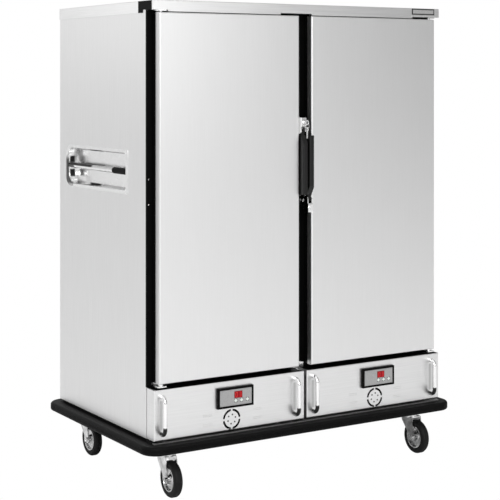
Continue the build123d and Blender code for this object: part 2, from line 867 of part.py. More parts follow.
def compressor(centre_x, z):
    """Domed compressor can on a foot plate."""
    x, y = centre_x - 150, 40
    can = rod(64, (x, y, z + 12), (x, y, z + 128))
    can = fillet(can.edges().filter_by(GeomType.CIRCLE), 18)
    foot = block(x - 80, x + 80, y - 55, y + 55, z, z + 4)
    return can + foot + rod(20, (x, y, z + 3), (x, y, z + 14))


def cold_box(centre_x, z):
    """Insulated box at the back that blows cold air up through the bay floor's slots."""
    wall = 12
    half = 240
    box = block(centre_x - half, centre_x + half, 160, 335, z, z + 160)
    in_x = half - wall
    return box - block(centre_x - in_x, centre_x + in_x, 160 + wall, 335 - wall, z + wall, z + 161)


def cooling_unit(centre_x):
    """What stands on the tray: fan housing, compressor, condenser coil and cold box."""
    tray_z = unit_bottom_z + 2 * sheet
    coil = block(centre_x - 60, centre_x + 240, -190, -130, tray_z, tray_z + 140)
    return group(fan_housing(centre_x), compressor(centre_x, tray_z), coil, cold_box(centre_x, tray_z))


def placed_caster(part, name):
    x, y, yaw = caster_places()[name]
    return Pos(x, y, 0) * Rot(0, 0, yaw) * part


def make_nodes():
    """Every node's shape, by name."""
    nodes = {
        "base_frame": base_frame(),
        "bumper": bumper(),
        "caster_plates": caster_plates(),
        "left_side_panel": side_panel(),
        "right_side_panel": mirrored(side_panel()),
        "back_panel": back_panel(),
        "top_panel": top_panel(),
        "header_end_caps": group(header_end_cap(), mirrored(header_end_cap())),
        "front_frame": front_frame(),
        "left_liner": liner(),
        "right_liner": mirrored(liner()),
        "cabinet_insulation": cabinet_insulation(),
        "tray_runners": tray_runners(),
        "left_push_handle": push_handle(),
        "right_push_handle": mirrored(push_handle()),
        "front_brackets": front_brackets(),
        "lock_barrel": lock_barrel(),
        "key_ring": key_ring(),
    }
    fork, hub, rubber = caster_fork(), wheel_hub(), tyre()
    for name in caster_yaws:
        nodes[f"{name}_fork"] = placed_caster(fork, name)
        nodes[f"{name}_wheel_hub"] = placed_caster(hub, name)
        nodes[f"{name}_tyre"] = placed_caster(rubber, name)
    door_pieces = {
        "door_skin": door_skin(),
        "door_edge_frame": door_edge_frame(),
        "door_inner_panel": door_inner_panel(),
        "door_gasket": door_gasket(),
    }
    for name, piece in door_pieces.items():
        nodes[f"left_{name}"] = piece
        nodes[f"right_{name}"] = mirrored(piece)
    nodes["left_latch_bracket"] = latch_bracket(bored=True)
    nodes["left_latch_lever"] = latch_lever()
    nodes["right_latch_bracket"] = to_right_latch(latch_bracket(bored=False))
    nodes["right_latch_lever"] = to_right_latch(latch_lever())
    for side, x in (("left", unit_centre_x()), ("right", -unit_centre_x())):
        nodes[f"{side}_unit_front"] = unit_front(x)
        nodes[f"{side}_unit_tray"] = unit_tray(x)
        nodes[f"{side}_unit_handles"] = unit_handles(x)
        nodes[f"{side}_controller"] = controller(x)
        nodes[f"{side}_cooling_unit"] = cooling_unit(x)
        nodes[f"{side}_fan_rotor"] = fan_rotor(x)
        for number, place in enumerate(button_places(x), start=1):
            nodes[f"{side}_button_{number}"] = button(*place)
    return nodes


os.makedirs("parts", exist_ok=True)
nodes = make_nodes()
for node_name, shape in nodes.items():
    export_step(shape, f"parts/{node_name}.step")
print("nodes written:", len(nodes))
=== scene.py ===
import math

import bmesh
import bpy
from mathutils import Matrix, Vector


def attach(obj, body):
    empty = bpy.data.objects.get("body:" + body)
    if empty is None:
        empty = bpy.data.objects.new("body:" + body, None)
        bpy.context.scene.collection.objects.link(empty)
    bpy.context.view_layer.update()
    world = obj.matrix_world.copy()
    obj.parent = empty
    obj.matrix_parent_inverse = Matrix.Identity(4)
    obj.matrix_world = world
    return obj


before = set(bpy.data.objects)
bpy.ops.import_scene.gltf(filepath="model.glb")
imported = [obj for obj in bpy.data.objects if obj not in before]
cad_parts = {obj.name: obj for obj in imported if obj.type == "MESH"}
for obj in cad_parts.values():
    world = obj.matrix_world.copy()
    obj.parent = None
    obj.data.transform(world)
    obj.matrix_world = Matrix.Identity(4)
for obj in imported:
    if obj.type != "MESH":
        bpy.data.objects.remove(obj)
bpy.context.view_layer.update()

# Metres, +X right, +Y back, +Z up, and the front faces -Y.
front_y = -0.384
cabinet_face_y = -0.328
back_y = 0.384
left_unit_x = -0.31275
right_unit_x = 0.31275
vent_z = 0.245
handle_centres_x = (-0.593, -0.0475, 0.0325, 0.578)
push_bar_x = 0.608
push_bar_z = 1.109
mains_inlet_x = 0.300
mains_inlet_z = 0.250

# How far the coil reaches to either side of its unit's middle.
coil_reach_left = 0.060
coil_reach_right = 0.240

# The controller's face lies in a shallow recess, with three holes for its buttons.
controller_offset_x = 0.011
controller_z = 0.3225
controller_recess_y = -0.393
face_half_width = 0.0655
face_half_height = 0.028
face_thickness = 0.0008
button_offset_z = -0.012
button_pitch = 0.024
button_hole_half = 0.0062

# The red lens sits on the face, and its digits stand out of it by a hair.
lens_offset_x = 0.010
lens_offset_z = 0.0087
lens_half_width = 0.0165
lens_half_height = 0.012
lens_front_y = controller_recess_y - 0.002
digit_offset_x = 0.0075
digit_half_width = 0.0035
digit_half_height = 0.0072
upright_half_height = 0.003375
stroke_half_width = 0.0009

sides = {"left": left_unit_x, "right": right_unit_x}
corners = ("front_left", "front_right", "rear_left", "rear_right")


# Materials

deep_black = (0.002, 0.002, 0.002, 1)

# Nearly all of a noise texture's values lie between these two.
noise_low = 0.3
noise_high = 0.7

# The colour mixing node's sockets are known by number.
first_colour = 6
second_colour = 7
mixed_colour = 2

# A grain's scale along each axis: a small number draws it out.
upright_grain = (90, 90, 1.5)
level_grain = (1.5, 1.5, 90)
deep_grain = (60, 2, 60)
even_grain = (1, 1, 1)
bump_distance = 0.0005


def grey(level):
    """A neutral colour."""
    return (level, level, level)


def greys(dark, light):
    """A dark and a light grey."""
    return grey(dark), grey(light)


def start_material(name):
    """A new node material, with its tree and its main shader."""
    material = bpy.data.materials.new(name)
    material.use_nodes = True
    tree = material.node_tree
    return material, tree, tree.nodes["Principled BSDF"]


def object_position(tree, scale=even_grain):
    """Object coordinates, stretched along each axis."""
    place = tree.nodes.new("ShaderNodeTexCoord")
    stretch = tree.nodes.new("ShaderNodeMapping")
    stretch.inputs["Scale"].default_value = scale
    tree.links.new(place.outputs["Object"], stretch.inputs["Vector"])
    return stretch.outputs["Vector"]


def noise(tree, scale, size, detail=3):
    """Soft noise in object coordinates."""
    texture = tree.nodes.new("ShaderNodeTexNoise")
    texture.inputs["Scale"].default_value = size
    texture.inputs["Detail"].default_value = detail
    tree.links.new(object_position(tree, scale), texture.inputs["Vector"])
    return texture.outputs["Fac"]


def slope(tree, value, start, end, low=0.0, high=1.0):
    """Runs evenly from low to high between a start and an end, and is flat outside them."""
    node = tree.nodes.new("ShaderNodeMapRange")
    node.inputs["From Min"].default_value = start
    node.inputs["From Max"].default_value = end
    node.inputs["To Min"].default_value = low
    node.inputs["To Max"].default_value = high
    tree.links.new(value, node.inputs["Value"])
    return node.outputs["Result"]


def spread(tree, value, low, high):
    """Maps a noise value onto a range."""
    return slope(tree, value, noise_low, noise_high, low, high)


def two_tone(tree, value, dark, light):
    """Colour that runs from dark to light with a noise value."""
    node = tree.nodes.new("ShaderNodeValToRGB")
    low_end, high_end = node.color_ramp.elements
    low_end.position = noise_low
    low_end.color = (*dark, 1)
    high_end.position = noise_high
    high_end.color = (*light, 1)
    tree.links.new(value, node.inputs["Fac"])
    return node.outputs["Color"]


def add_bump(tree, shader, value, strength):
    """Lets a value raise and lower the surface a little."""
    bump = tree.nodes.new("ShaderNodeBump")
    bump.inputs["Strength"].default_value = strength
    bump.inputs["Distance"].default_value = bump_distance
    tree.links.new(value, bump.inputs["Height"])
    tree.links.new(bump.outputs["Normal"], shader.inputs["Normal"])


def join(tree, operation, first, second):
    """Puts two values together; either of them may be a plain number."""
    node = tree.nodes.new("ShaderNodeMath")
    node.operation = operation
    for socket, value in zip(node.inputs, (first, second)):
        if isinstance(value, (int, float)):
            socket.default_value = value
        else:
            tree.links.new(value, socket)
    return node.outputs["Value"]


def surface_axes(tree):
    """Distance from the middle plane, depth, height, and how far a surface faces up."""
    place = tree.nodes.new("ShaderNodeSeparateXYZ")
    tree.links.new(object_position(tree), place.inputs["Vector"])
    geometry = tree.nodes.new("ShaderNodeNewGeometry")
    facing = tree.nodes.new("ShaderNodeSeparateXYZ")
    tree.links.new(geometry.outputs["Normal"], facing.inputs["Vector"])
    return {
        "x": join(tree, "ABSOLUTE", place.outputs["X"], 0.0),
        "y": place.outputs["Y"],
        "z": place.outputs["Z"],
        "up": facing.outputs["Z"],
    }


def shade_mask(tree, axes, depth, ranges):
    """A shade's depth inside its ranges, fading out over an edge outside them."""
    mask = depth
    for axis, (low, high, edge) in ranges.items():
        inside = join(
            tree,
            "MULTIPLY",
            slope(tree, axes[axis], low - edge, low),
            slope(tree, axes[axis], high, high + edge, 1.0, 0.0),
        )
        mask = join(tree, "MULTIPLY", inside, mask)
    return mask


def blacken(tree, shader, colour, amount):
    """Fades a metal's colour and its metallic look towards black, by an amount from 0 to 1."""
    mix = tree.nodes.new("ShaderNodeMix")
    mix.data_type = "RGBA"
    tree.links.new(amount, mix.inputs["Factor"])
    tree.links.new(colour, mix.inputs[first_colour])
    mix.inputs[second_colour].default_value = deep_black
    tree.links.new(mix.outputs[mixed_colour], shader.inputs["Base Color"])
    tree.links.new(join(tree, "SUBTRACT", 1.0, amount), shader.inputs["Metallic"])


def add_painted_shades(material, shades):
    """Paints dark patches into a metal's colour: painted reflections, as a furnished room gives when it is
    mirrored there, and painted shade.
    """
    tree = material.node_tree
    shader = tree.nodes["Principled BSDF"]
    bright = shader.inputs["Base Color"].links[0].from_socket
    axes = surface_axes(tree)
    darkness = 0.0
    for depth, ranges in shades:
        darkness = join(tree, "MAXIMUM", shade_mask(tree, axes, depth, ranges), darkness)
    blacken(tree, shader, bright, darkness)
    shader.inputs["Specular IOR Level"].default_value = 0.05
    return material


def metal(name, colours, roughness, grain, grain_size, bump=0.02):
    """Metal whose colour and roughness each run between two values with its grain."""
    material, tree, shader = start_material(name)
    streaks = noise(tree, grain, grain_size)
    shader.inputs["Metallic"].default_value = 1.0
    tree.links.new(two_tone(tree, streaks, *colours), shader.inputs["Base Color"])
    tree.links.new(spread(tree, streaks, *roughness), shader.inputs["Roughness"])
    add_bump(tree, shader, streaks, bump)
    return material


def dull(name, colours, roughness, grain_size, bump, specular=0.5):
    """Plastic, rubber or foam with a fine, even grain."""
    material, tree, shader = start_material(name)
    grain = noise(tree, even_grain, grain_size, detail=5)
    tree.links.new(two_tone(tree, grain, *colours), shader.inputs["Base Color"])
    tree.links.new(spread(tree, grain, *roughness), shader.inputs["Roughness"])
    shader.inputs["Specular IOR Level"].default_value = specular
    add_bump(tree, shader, grain, bump)
    return material


def glowing(name, colours, strength):
    """Lit plastic with a faint unevenness."""
    material, tree, shader = start_material(name)
    colour = two_tone(tree, noise(tree, even_grain, 300), *colours)
    tree.links.new(colour, shader.inputs["Base Color"])
    tree.links.new(colour, shader.inputs["Emission Color"])
    shader.inputs["Emission Strength"].default_value = strength
    shader.inputs["Roughness"].default_value = 0.25
    shader.inputs["Specular IOR Level"].default_value = 0.2
    return material


def unit_inside(name, front_limit):
    """Cast alloy painted black in front of a given Y: a painted shade that makes the vent's slots look
    dark.
    """
    material, tree, shader = start_material(name)
    grain = noise(tree, even_grain, 90)
    place = tree.nodes.new("ShaderNodeSeparateXYZ")
    tree.links.new(object_position(tree), place.inputs["Vector"])
    is_front = join(tree, "LESS_THAN", place.outputs["Y"], front_limit)
    blacken(tree, shader, two_tone(tree, grain, *greys(0.45, 0.62)), is_front)
    tree.links.new(spread(tree, grain, 0.45, 0.6), shader.inputs["Roughness"])
    shader.inputs["Specular IOR Level"].default_value = 0.1
    return material


# Painted shades

# Each painted shade is a depth, and for each axis where it starts, where it ends and how wide its edge is.
full_shade = 0.98
rim_shade = 0.97


def unit_shades():
    """Painted shadows: soft dark strips on the unit fronts behind the bow handles."""
    half_width = 0.003
    edge = 0.005
    handle_heights = (0.246, 0.340, edge)
    return [
        (0.35, {"x": (abs(x) - half_width, abs(x) + half_width, edge), "z": handle_heights})
        for x in handle_centres_x
    ]


def handle_shades():
    """Painted shade: dark undersides of the bow handles' bends."""
    return [
        (full_shade, {"z": (0.230, 0.254, 0.004)}),
        (full_shade, {"up": (-1.1, -0.6, 0.15)}),
    ]


def ledge_shades():
    """Painted shade: a dark rim on the deck beside the bumper, at the sides and the back."""
    return [
        (rim_shade, {"x": (0.600, 0.650, 0.002), "y": (-0.370, 0.400, 0.002)}),
        (rim_shade, {"y": (0.370, 0.400, 0.002)}),
    ]


def pocket_shades():
    """Painted reflections and painted shade: dark patches on the push bar and in the pocket behind it."""
    bar = {"z": (1.107, 1.121, 0.001), "x": (0.596, 0.6185, 0.001), "up": (0.2, 1.1, 0.15)}
    rear_wall = {"y": (0.296, 0.320, 0.004), "x": (0.592, 0.609, 0.003)}
    rear_rim = {"y": (0.268, 0.320, 0.01), "x": (0.6155, 0.6215, 0.001), "z": (1.045, 1.130, 0.02)}
    back_corner = {"x": (0.570, 0.582, 0.002), "y": (0.272, 0.296, 0.015), "z": (1.130, 1.160, 0.01)}
    floor_edge = {"z": (1.030, 1.047, 0.002), "x": (0.577, 0.6155, 0.001)}
    top_edge = {"z": (1.1685, 1.1735, 0.0015), "x": (0.570, 0.580, 0.002)}
    return [
        (full_shade, {**bar, "y": (0.115, 0.320, 0.015)}),
        (0.40, {**bar, "y": (-0.060, 0.105, 0.010)}),
        (full_shade, {**rear_wall, "z": (1.120, 1.141, 0.004)}),
        (full_shade, {**rear_wall, "z": (1.067, 1.091, 0.004)}),
        (0.90, rear_rim),
        (rim_shade, {**top_edge, "y": (0.100, 0.200, 0.020)}),
        (0.50, {**top_edge, "y": (-0.080, 0.290, 0.020)}),
        (0.45, back_corner),
        (full_shade, {**floor_edge, "y": (0.115, 0.190, 0.020)}),
        (0.35, {**floor_edge, "y": (-0.130, 0.100, 0.010)}),
    ]


def make_materials():
    """Every material by name."""
    # The cooling unit's painted shade starts in front of this Y.
    vent_shade_front = -0.34
    return {
        "door_steel": metal("door steel", greys(0.81, 0.83), (0.36, 0.40), upright_grain, 4, bump=0.008),
        "side_steel": metal("side steel", greys(0.78, 0.83), (0.36, 0.44), upright_grain, 4),
        "roof_steel": metal("roof steel", greys(0.78, 0.84), (0.30, 0.38), level_grain, 4),
        "unit_steel": add_painted_shades(
            metal("unit steel", greys(0.78, 0.83), (0.33, 0.41), level_grain, 4), unit_shades()
        ),
        "inner_steel": metal("inner steel", greys(0.70, 0.78), (0.38, 0.48), deep_grain, 3),
        "base_steel": add_painted_shades(
            metal("base steel", greys(0.48, 0.58), (0.30, 0.42), deep_grain, 3), ledge_shades()
        ),
        "chrome": metal("chrome", greys(0.90, 0.95), (0.06, 0.12), even_grain, 20, bump=0),
        "handle_chrome": add_painted_shades(
            metal("handle chrome", greys(0.90, 0.95), (0.06, 0.12), even_grain, 20, bump=0),
            handle_shades(),
        ),
        "spare_key_steel": metal(
            "spare key steel", greys(0.55, 0.70), (0.15, 0.25), even_grain, 60, bump=0
        ),
        "pocket_steel": add_painted_shades(
            metal("polished pocket steel", greys(0.90, 0.95), (0.20, 0.28), even_grain, 60, bump=0),
            pocket_shades(),
        ),
        "bracket_steel": metal("bracket steel", greys(0.82, 0.90), (0.15, 0.25), even_grain, 60, bump=0),
        "caster_steel": metal(
            "plated caster steel", greys(0.42, 0.92), (0.12, 0.22), even_grain, 45, bump=0
        ),
        "cast_alloy": metal("cast alloy", greys(0.45, 0.62), (0.45, 0.6), even_grain, 90, bump=0.1),
        "unit_alloy": unit_inside("unit alloy", vent_shade_front),
        "copper": metal(
            "copper", ((0.70, 0.34, 0.20), (0.85, 0.45, 0.28)), (0.25, 0.4), even_grain, 60, bump=0
        ),
        "black_plastic": dull("black plastic", greys(0.002, 0.004), (0.38, 0.50), 900, 0.08, specular=0.04),
        "lever_plastic": dull("lever plastic", greys(0.004, 0.008), (0.28, 0.36), 700, 0.05, specular=0.3),
        "bumper_rubber": dull("bumper rubber", greys(0.002, 0.008), (0.40, 0.55), 500, 0.15, specular=0.06),
        "seal_rubber": dull("seal rubber", greys(0.010, 0.020), (0.5, 0.6), 700, 0.1),
        "tyre_rubber": dull("tyre rubber", greys(0.003, 0.008), (0.5, 0.65), 500, 0.2, specular=0.2),
        "foam": dull(
            "foam", ((0.60, 0.52, 0.32), (0.75, 0.68, 0.46)), (0.8, 0.95), 250, 0.4, specular=0.2
        ),
        "face_plastic": dull("controller face", greys(0.30, 0.36), (0.25, 0.35), 400, 0.02),
        "button_plastic": dull(
            "button plastic", ((0.62, 0.68, 0.64), (0.75, 0.80, 0.76)), (0.35, 0.45), 400, 0.03
        ),
        "blank_plate": dull("blank plate", greys(0.26, 0.38), (0.3, 0.4), 200, 0.03),
        "red_lens": glowing("red lens", ((0.20, 0.0, 0.004), (0.26, 0.0, 0.008)), 0.12),
        "red_digit": glowing("red digit", ((0.50, 0.02, 0.02), (0.60, 0.04, 0.03)), 0.3),
    }


def paint(nodes, material):
    """Gives some CAD nodes their material."""
    for node in nodes:
        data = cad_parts[node].data
        data.materials.clear()
        data.materials.append(material)


def both(*names):
    """The left and right node of each name."""
    return [f"{side}_{name}" for name in names for side in sides]


def paint_everything(looks):
    """Assigns a material to each CAD node."""
    paint(both("door_skin"), looks["door_steel"])
    paint(both("side_panel") + ["back_panel"], looks["side_steel"])
    paint(["top_panel"], looks["roof_steel"])
    paint(both("unit_front"), looks["unit_steel"])
    paint(both("liner", "door_inner_panel", "unit_tray") + ["tray_runners"], looks["inner_steel"])
    paint(["base_frame"], looks["base_steel"])
    paint(["front_brackets"], looks["bracket_steel"])
    paint(both("latch_bracket") + ["lock_barrel"], looks["chrome"])
    paint(both("unit_handles"), looks["handle_chrome"])
    paint(["key_ring"], looks["spare_key_steel"])
    paint(both("push_handle"), looks["pocket_steel"])
    paint(["header_end_caps", "front_frame"] + both("door_edge_frame", "fan_rotor"), looks["black_plastic"])
    paint(both("controller"), looks["black_plastic"])
    paint(both("latch_lever"), looks["lever_plastic"])
    paint(both("door_gasket"), looks["seal_rubber"])
    paint(["bumper"], looks["bumper_rubber"])
    paint(["cabinet_insulation"], looks["foam"])
    paint(both("cooling_unit"), looks["unit_alloy"])
    paint(both("button_1", "button_2", "button_3"), looks["button_plastic"])
    paint(["caster_plates"], looks["caster_steel"])
    for corner in corners:
        paint([f"{corner}_fork", f"{corner}_wheel_hub"], looks["caster_steel"])
        paint([f"{corner}_tyre"], looks["tyre_rubber"])


# Small pieces

to_front = (0, -1, 0)
to_back = (0, 1, 0)


def mesh_object(name, shape, material, body):
    """Turns a bmesh into a shaded object that rides on a body."""
    mesh = bpy.data.meshes.new(name)
    shape.to_mesh(mesh)
    shape.free()
    made = bpy.data.objects.new(name, mesh)
    bpy.context.collection.objects.link(made)
    mesh.materials.append(material)
    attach(made, body)
    return made


def add_slab(shape, low, high, bevel=0.0):
    """Adds a box between two corners, with its edges rounded off."""
    low, high = Vector(low), Vector(high)
    size = high - low
    made = bmesh.ops.create_cube(shape, size=1.0)["verts"]
    bmesh.ops.scale(shape, vec=size, verts=made)
    bmesh.ops.translate(shape, vec=(low + high) / 2, verts=made)
    if bevel:
        edges = list({edge for vert in made for edge in vert.link_edges})
        bmesh.ops.bevel(shape, geom=edges, offset=bevel, segments=2, affect="EDGES")


def slab(name, low, high, material, body, bevel=0.0):
    """A box piece between two corners."""
    shape = bmesh.new()
    add_slab(shape, low, high, bevel)
    return mesh_object(name, shape, material, body)


def circle(radius, steps):
    """Points set evenly round a circle."""
    angles = [2 * math.pi * step / steps for step in range(steps)]
    return [(radius * math.cos(angle), radius * math.sin(angle)) for angle in angles]


def bridge(shape, first, second):
    """Joins two equal loops of points with a band of faces."""
    for n in range(len(first)):
        following = (n + 1) % len(first)
        shape.faces.new((first[n], first[following], second[following], second[n]))


def add_dome(shape, centre, direction, radius, height, steps=20, rings=4):
    """Adds a low domed head, such as a rivet's or a screw's."""
    turn = Vector((0, 0, 1)).rotation_difference(Vector(direction)).to_matrix().to_4x4()
    place = Matrix.Translation(centre) @ turn
    loops = []
    for level in range(rings):
        angle = math.pi / 2 * level / rings
        rise = height * math.sin(angle)
        points = circle(radius * math.cos(angle), steps)
        loops.append([shape.verts.new(place @ Vector((x, y, rise))) for x, y in points])
    tip = shape.verts.new(place @ Vector((0, 0, height)))
    for lower, upper in zip(loops, loops[1:]):
        bridge(shape, lower, upper)
    highest = loops[-1]
    for n in range(steps):
        shape.faces.new((highest[n], highest[(n + 1) % steps], tip))
    shape.faces.new(list(reversed(loops[0])))


def domes(name, places, direction, material, body, radius, height):
    """A set of equal domed heads as one piece."""
    shape = bmesh.new()
    for centre in places:
        add_dome(shape, centre, direction, radius, height)
    made = mesh_object(name, shape, material, body)
    made.data.shade_smooth()
    return made


def ring(name, centre, outer, inner, low_y, high_y, material, body, steps=48):
    """A flat ring that faces along Y."""
    shape = bmesh.new()
    loops = []
    for radius, y in ((outer, low_y), (inner, low_y), (inner, high_y), (outer, high_y)):
        points = circle(radius, steps)
        loops.append([shape.verts.new((centre[0] + x, y, centre[1] + z)) for x, z in points])
    for first, second in zip(loops, loops[1:] + loops[:1]):
        bridge(shape, first, second)
    bmesh.ops.recalc_face_normals(shape, faces=shape.faces)
    return mesh_object(name, shape, material, body)


def pipe(name, points, material, body, radius):
    """A bent pipe through some points."""
    curve = bpy.data.curves.new(name, "CURVE")
    curve.dimensions = "3D"
    curve.bevel_depth = radius
    curve.bevel_resolution = 4
    line = curve.splines.new("POLY")
    line.points.add(len(points) - 1)
    for point, place in zip(line.points, points):
        point.co = (*place, 1)
    made = bpy.data.objects.new(name, curve)
    bpy.context.collection.objects.link(made)
    curve.materials.append(material)
    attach(made, body)
    return made


# Segments of a digit, as (middle across, middle up, lies flat), in half widths and half heights.
segments = {
    "a": (0, 1, True),
    "b": (1, 0.5, False),
    "c": (1, -0.5, False),
    "d": (0, -1, True),
    "e": (-1, -0.5, False),
    "f": (-1, 0.5, False),
    "g": (0, 0, True),
}
digits = {"0": "abcdef", "3": "abcdg"}


def controller_face(side, centre_x, looks):
    """Grey face round the three buttons, as a low part, a strip with holes and a top part."""
    body = f"{side}_unit"
    front = controller_recess_y - face_thickness
    left, right = centre_x - face_half_width, centre_x + face_half_width
    button_z = controller_z + button_offset_z
    button_low, button_high = button_z - button_hole_half, button_z + button_hole_half
    slab(
        f"{side}_controller_face",
        (left, front, controller_z - face_half_height),
        (right, controller_recess_y, button_low),
        looks["face_plastic"],
        body,
    )
    holes = [centre_x + n * button_pitch for n in range(3)]
    starts = [left] + [hole + button_hole_half for hole in holes]
    ends = [hole - button_hole_half for hole in holes] + [right]
    shape = bmesh.new()
    for start, end in zip(starts, ends):
        add_slab(shape, (start, front, button_low), (end, controller_recess_y, button_high))
    mesh_object(f"{side}_controller_face_strip", shape, looks["face_plastic"], body)
    slab(
        f"{side}_controller_face_top",
        (left, front, button_high),
        (right, controller_recess_y, controller_z + face_half_height),
        looks["face_plastic"],
        body,
    )


def add_digit(shape, digit, centre_x, centre_z):
    """Adds the lit segments of one digit."""
    for segment in digits[digit]:
        across, up, flat = segments[segment]
        x = centre_x + across * digit_half_width
        z = centre_z + up * digit_half_height
        half_width = digit_half_width if flat else stroke_half_width
        half_height = stroke_half_width if flat else upright_half_height
        add_slab(
            shape,
            (x - half_width, lens_front_y - 0.0004, z - half_height),
            (x + half_width, lens_front_y + 0.0002, z + half_height),
        )


def red_display(side, centre_x, looks):
    """Red lens with two plain lit digits."""
    body = f"{side}_unit"
    lens_x = centre_x + lens_offset_x
    lens_z = controller_z + lens_offset_z
    slab(
        f"{side}_red_lens",
        (lens_x - lens_half_width, lens_front_y, lens_z - lens_half_height),
        (lens_x + lens_half_width, controller_recess_y - face_thickness, lens_z + lens_half_height),
        looks["red_lens"],
        body,
        bevel=0.0004,
    )
    shape = bmesh.new()
    add_digit(shape, "0", lens_x - digit_offset_x, lens_z)
    add_digit(shape, "3", lens_x + digit_offset_x, lens_z)
    mesh_object(f"{side}_digits", shape, looks["red_digit"], body)


def vent_marks(side, unit_x, looks):
    """Small dark screws on the disc inside the round vent."""
    screw_circle_radius = 0.016
    first_angle = 20
    places = []
    for n in range(6):
        angle = math.radians(first_angle + 60 * n)
        x = unit_x + screw_circle_radius * math.cos(angle)
        z = vent_z + screw_circle_radius * math.sin(angle)
        places.append((x, front_y, z))
    rubber = looks["seal_rubber"]
    domes(f"{side}_vent_screws", places, to_front, rubber, f"{side}_unit", radius=0.003, height=0.0008)


def unit_top_strip(side, unit_x, looks):
    """Black strip that lies on the folded top of the unit front."""
    half_length = 0.300
    fold_top_z = 0.3800
    slab(
        f"{side}_unit_top_strip",
        (unit_x - half_length, front_y + 0.001, fold_top_z),
        (unit_x + half_length, cabinet_face_y - 0.002, fold_top_z + 0.0008),
        looks["black_plastic"],
        f"{side}_unit",
    )


def push_bar_sleeves(looks):
    """Black sleeves on the front ends of the push bars."""
    outer_radius, inner_radius = 0.0115, 0.0098
    sleeve_front_y, sleeve_back_y = -0.1730, -0.0600
    for side, x in (("left", -push_bar_x), ("right", push_bar_x)):
        ring(
            f"{side}_push_bar_sleeve",
            (x, push_bar_z),
            outer_radius,
            inner_radius,
            sleeve_front_y,
            sleeve_back_y,
            looks["black_plastic"],
            "cabinet",
        )


def coil_fins(side, unit_x, looks):
    """Thin fins in front of the condenser coil."""
    low_x, high_x = unit_x - coil_reach_left, unit_x + coil_reach_right
    fin_count = 50
    fin_half_thickness = 0.0004
    fin_front_y, fin_back_y = -0.196, -0.190
    fin_low_z, fin_high_z = 0.212, 0.348
    shape = bmesh.new()
    for n in range(fin_count):
        x = low_x + (high_x - low_x) * (n + 0.5) / fin_count
        add_slab(
            shape,
            (x - fin_half_thickness, fin_front_y, fin_low_z),
            (x + fin_half_thickness, fin_back_y, fin_high_z),
        )
    mesh_object(f"{side}_coil_fins", shape, looks["cast_alloy"], f"{side}_unit")


def copper_pipes(side, unit_x, looks):
    """Half turns at the coil's end, and the two pipes between the coil, the can and the cold box."""
    body = f"{side}_unit"
    coil_x = unit_x - coil_reach_left
    coil_y = -0.160
    bend_width, bend_radius, bend_steps = 0.012, 0.010, 8
    for n in range(3):
        low_z = 0.235 + 0.040 * n
        half_turn = []
        for step in range(bend_steps + 1):
            angle = math.pi * step / bend_steps
            x = coil_x - bend_width * math.sin(angle)
            half_turn.append((x, coil_y, low_z + bend_radius * (1 - math.cos(angle))))
        pipe(f"{side}_coil_bend_{n + 1}", half_turn, looks["copper"], body, radius=0.0045)
    can_x = unit_x - 0.150
    suction_z = 0.355
    suction = [
        (can_x, 0.040, 0.333),
        (can_x, 0.040, suction_z),
        (can_x, 0.100, suction_z),
        (can_x, 0.162, suction_z),
    ]
    pipe(f"{side}_suction_pipe", suction, looks["copper"], body, radius=0.005)
    discharge_x = can_x + 0.03
    discharge_z = 0.350
    discharge = [
        (discharge_x, 0.020, 0.330),
        (discharge_x, 0.020, discharge_z),
        (discharge_x, -0.120, discharge_z),
        (coil_x + 0.01, -0.150, discharge_z),
        (coil_x + 0.01, coil_y, 0.345),
    ]
    pipe(f"{side}_discharge_pipe", discharge, looks["copper"], body, radius=0.004)


def blank_nameplate(looks):
    """Plain plate with a dark rim on the header band, with nothing on it."""
    low_x, high_x = 0.4945, 0.5945
    low_z, high_z = 1.6855, 1.7000
    rim_width = 0.0045
    slab(
        "nameplate_rim",
        (low_x - rim_width, front_y - 0.0008, low_z - rim_width),
        (high_x + rim_width, front_y, high_z + rim_width),
        looks["seal_rubber"],
        "cabinet",
    )
    slab(
        "blank_nameplate",
        (low_x, front_y - 0.0014, low_z),
        (high_x, front_y - 0.0006, high_z),
        looks["blank_plate"],
        "cabinet",
        bevel=0.0003,
    )


def deck_shade_strips(looks):
    """Black strips along the deck's rim, at both sides and the back: painted shade at the foot of the
    panels.
    """
    strip_half_width = 0.0055
    low_z, high_z = 0.1950, 0.1966
    side_x = 0.615
    rear_y = 0.379
    rear_half_length = 0.612
    shape = bmesh.new()
    for x in (-side_x, side_x):
        add_slab(
            shape,
            (x - strip_half_width, cabinet_face_y + 0.002, low_z),
            (x + strip_half_width, back_y, high_z),
        )
    add_slab(
        shape,
        (-rear_half_length, rear_y - strip_half_width, low_z),
        (rear_half_length, rear_y + strip_half_width - 0.001, high_z),
    )
    mesh_object("deck_shade_strips", shape, looks["black_plastic"], "cabinet")


def frame_rivets(looks):
    """Rivets down the strip of front frame beside each door."""
    strip_x = 0.611
    heights = (1.005, 1.092)
    for side, x in (("left", -strip_x), ("right", strip_x)):
        places = [(x, cabinet_face_y, z) for z in heights]
        steel = looks["caster_steel"]
        domes(f"{side}_frame_rivets", places, to_front, steel, "cabinet", radius=0.003, height=0.0012)


def mains_grommets(looks):
    """Rubber rings in the back panel's inlets."""
    outer_radius, inner_radius = 0.019, 0.011
    thickness = 0.0018
    for side, x in (("left", -mains_inlet_x), ("right", mains_inlet_x)):
        ring(
            f"{side}_inlet_grommet",
            (x, mains_inlet_z),
            outer_radius,
            inner_radius,
            back_y,
            back_y + thickness,
            looks["seal_rubber"],
            "cabinet",
        )


def back_screws(looks):
    """Screws down the back panel's edges and its middle."""
    columns = (-0.600, 0, 0.600)
    heights = (0.225, 0.50, 0.80, 1.10, 1.40, 1.64)
    places = [(x, back_y, z) for x in columns for z in heights]
    domes("back_screws", places, to_back, looks["caster_steel"], "cabinet", radius=0.004, height=0.0016)


# Camera, floor and light


